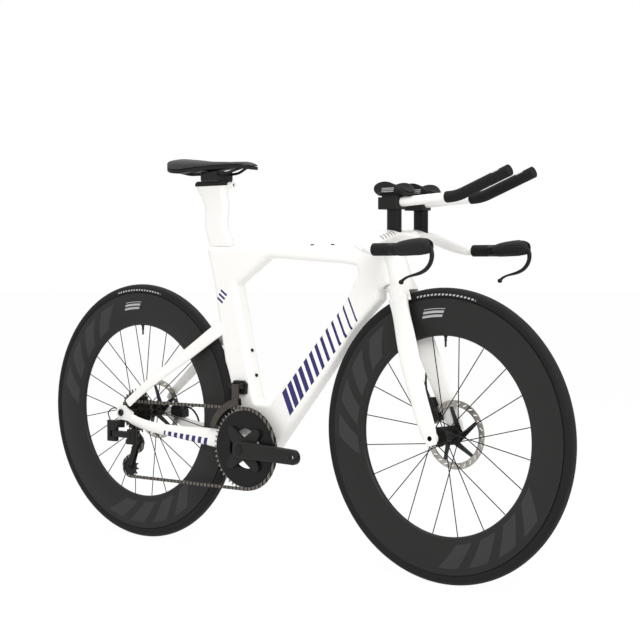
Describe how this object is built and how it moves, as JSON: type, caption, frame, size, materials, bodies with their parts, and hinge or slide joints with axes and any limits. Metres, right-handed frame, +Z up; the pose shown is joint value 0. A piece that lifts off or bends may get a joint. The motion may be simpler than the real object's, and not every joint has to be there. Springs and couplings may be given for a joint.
{
  "type": "time trial bicycle",
  "caption": "White time trial bicycle: aero frame, deep rims, disc brakes, base bar with raised arm rests and extensions, chain drive with front and rear derailleurs.",
  "frame": {"origin": "on the ground, midway between the two wheels", "axes": "+X forward, +Y to the bicycle's left, +Z up"},
  "size_m": [1.6629, 0.423, 1.0049],
  "materials": {
    "white_paint": "gloss",
    "tyre": "matte",
    "rim_carbon": "matte",
    "black_alloy": "satin",
    "black_plastic": "matte",
    "grip_rubber": "matte",
    "disc_steel": "satin",
    "chain_steel": "satin",
    "cog_steel": "satin",
    "bearing_steel": "satin",
    "cage_alloy": "satin",
    "saddle_cover": "satin",
    "pad_foam": "matte",
    "chrome_button": "gloss"
  },
  "bodies": {
    "frame": {"main_frame": "white_paint", "boss_inserts": "black_alloy", "headset_bearings": "bearing_steel", "crank_bearings": "black_alloy", "chainstays": "white_paint", "seatstays": "white_paint", "derailleur_hanger": "black_alloy", "rear_axle": "black_alloy", "rear_caliper": "black_alloy", "rear_brake_hose": "black_plastic", "front_derailleur_body": "black_alloy", "rd_body": "black_alloy", "derailleur_wire": "black_plastic", "chain": "chain_steel"},
    "seat": {"seatpost": "white_paint", "saddle_clamp": "black_alloy", "saddle_rails": "black_alloy", "saddle_shell": "black_plastic", "saddle_cover": "saddle_cover"},
    "steering": {"fork": "white_paint", "front_axle": "black_alloy", "front_caliper": "black_alloy", "front_brake_hose": "black_plastic", "base_bar": "white_paint", "bar_grips": "grip_rubber", "lever_body_left": "grip_rubber", "lever_body_right": "grip_rubber", "riser_spacers": "black_plastic", "extension_clamps": "black_alloy", "extensions": "white_paint", "extension_grips": "grip_rubber", "arm_cups": "black_plastic", "arm_pads": "pad_foam"},
    "left_lever": {"brake_lever_left": "black_plastic"},
    "right_lever": {"brake_lever_right": "black_plastic"},
    "left_button": {"shift_button_left": "chrome_button"},
    "right_button": {"shift_button_right": "chrome_button"},
    "front_wheel": {"front_tyre": "tyre", "front_rim": "rim_carbon", "front_spokes": "black_alloy", "front_hub": "black_alloy", "front_rotor": "disc_steel"},
    "rear_wheel": {"rear_tyre": "tyre", "rear_rim": "rim_carbon", "rear_spokes": "black_alloy", "rear_hub": "black_alloy", "rear_rotor": "disc_steel"},
    "cranks": {"crank_right": "black_alloy", "crank_left": "black_alloy", "outer_chainring": "black_alloy", "inner_chainring": "black_alloy"},
    "cassette": {"cassette": "cog_steel"},
    "rd_link": {"rd_link": "black_alloy"},
    "rd_knuckle": {"rd_knuckle": "black_alloy"},
    "rd_cage": {"rd_cage": "black_alloy"},
    "guide_pulley": {"guide_pulley": "black_plastic"},
    "tension_pulley": {"tension_pulley": "black_plastic"},
    "front_derailleur": {"front_derailleur_cage": "cage_alloy"}
  },
  "joints": [
    {"name": "steering_turn", "type": "hinge", "parent": "frame", "child": "steering", "pos_m": [0.32725, 0, 0.71679], "axis": [-0.3007, 0, 0.9537], "range_deg": [-40, 40]},
    {"name": "front_wheel_spin", "type": "hinge", "parent": "steering", "child": "front_wheel", "pos_m": [0.4925, 0, 0.339], "axis": [0, 1, 0], "continuous": true},
    {"name": "rear_wheel_spin", "type": "hinge", "parent": "frame", "child": "rear_wheel", "pos_m": [-0.4925, 0, 0.339], "axis": [0, 1, 0], "continuous": true},
    {"name": "crank_spin", "type": "hinge", "parent": "frame", "child": "cranks", "pos_m": [-0.08, 0, 0.271], "axis": [0, 1, 0], "continuous": true, "deforming": ["chain"]},
    {"name": "cassette_spin", "type": "hinge", "parent": "frame", "child": "cassette", "pos_m": [-0.4925, -0.048, 0.339], "axis": [0, 1, 0], "continuous": true},
    {"name": "rd_link_swing", "type": "hinge", "parent": "frame", "child": "rd_link", "pos_m": [-0.508, -0.088, 0.283], "axis": [0, 0, 1], "range_deg": [-8, 20]},
    {"name": "rd_knuckle_swing", "type": "hinge", "parent": "rd_link", "child": "rd_knuckle", "pos_m": [-0.448, -0.088, 0.283], "axis": [0, 0, 1], "range_deg": [-20, 8]},
    {"name": "rd_cage_swing", "type": "hinge", "parent": "rd_knuckle", "child": "rd_cage", "pos_m": [-0.452, -0.0533, 0.266], "axis": [0, 1, 0], "range_deg": [-15, 25], "stiffness_Nm_per_rad": 2},
    {"name": "guide_pulley_spin", "type": "hinge", "parent": "rd_cage", "child": "guide_pulley", "pos_m": [-0.46678, -0.048, 0.25719], "axis": [0, 1, 0], "continuous": true},
    {"name": "tension_pulley_spin", "type": "hinge", "parent": "rd_cage", "child": "tension_pulley", "pos_m": [-0.49115, -0.048, 0.19298], "axis": [0, 1, 0], "continuous": true},
    {"name": "front_derailleur_swing", "type": "hinge", "parent": "frame", "child": "front_derailleur", "pos_m": [-0.118, -0.038, 0.425], "axis": [1, 0, 0], "range_deg": [0, 8.5]},
    {"name": "left_lever_squeeze", "type": "hinge", "parent": "steering", "child": "left_lever", "pos_m": [0.57722, 0.196, 0.76994], "axis": [0, 1, 0], "range_deg": [0, 20], "stiffness_Nm_per_rad": 1, "springref_deg": -11.46},
    {"name": "right_lever_squeeze", "type": "hinge", "parent": "steering", "child": "right_lever", "pos_m": [0.57722, -0.196, 0.76994], "axis": [0, 1, 0], "range_deg": [0, 20], "stiffness_Nm_per_rad": 1, "springref_deg": -11.46},
    {"name": "left_button_press", "type": "slide", "parent": "steering", "child": "left_button", "axis": [0.2681, 0.6606, -0.7012], "range_m": [0, 0.0015], "stiffness_N_per_m": 600, "springref_m": -0.001},
    {"name": "right_button_press", "type": "slide", "parent": "steering", "child": "right_button", "axis": [0.2681, 0.6606, -0.7012], "range_m": [0, 0.0015], "stiffness_N_per_m": 600, "springref_m": -0.001},
    {"name": "seat_height", "type": "slide", "parent": "frame", "child": "seat", "axis": [-0.1959, 0, 0.9806], "range_m": [0, 0.06]}
  ],
  "couplings": [
    {"joint": "cassette_spin", "follows": "crank_spin", "ratio": 3.5714},
    {"joint": "guide_pulley_spin", "follows": "crank_spin", "ratio": -4.5455},
    {"joint": "tension_pulley_spin", "follows": "crank_spin", "ratio": 3.8462},
    {"joint": "rd_knuckle_swing", "follows": "rd_link_swing", "ratio": -1}
  ]
}
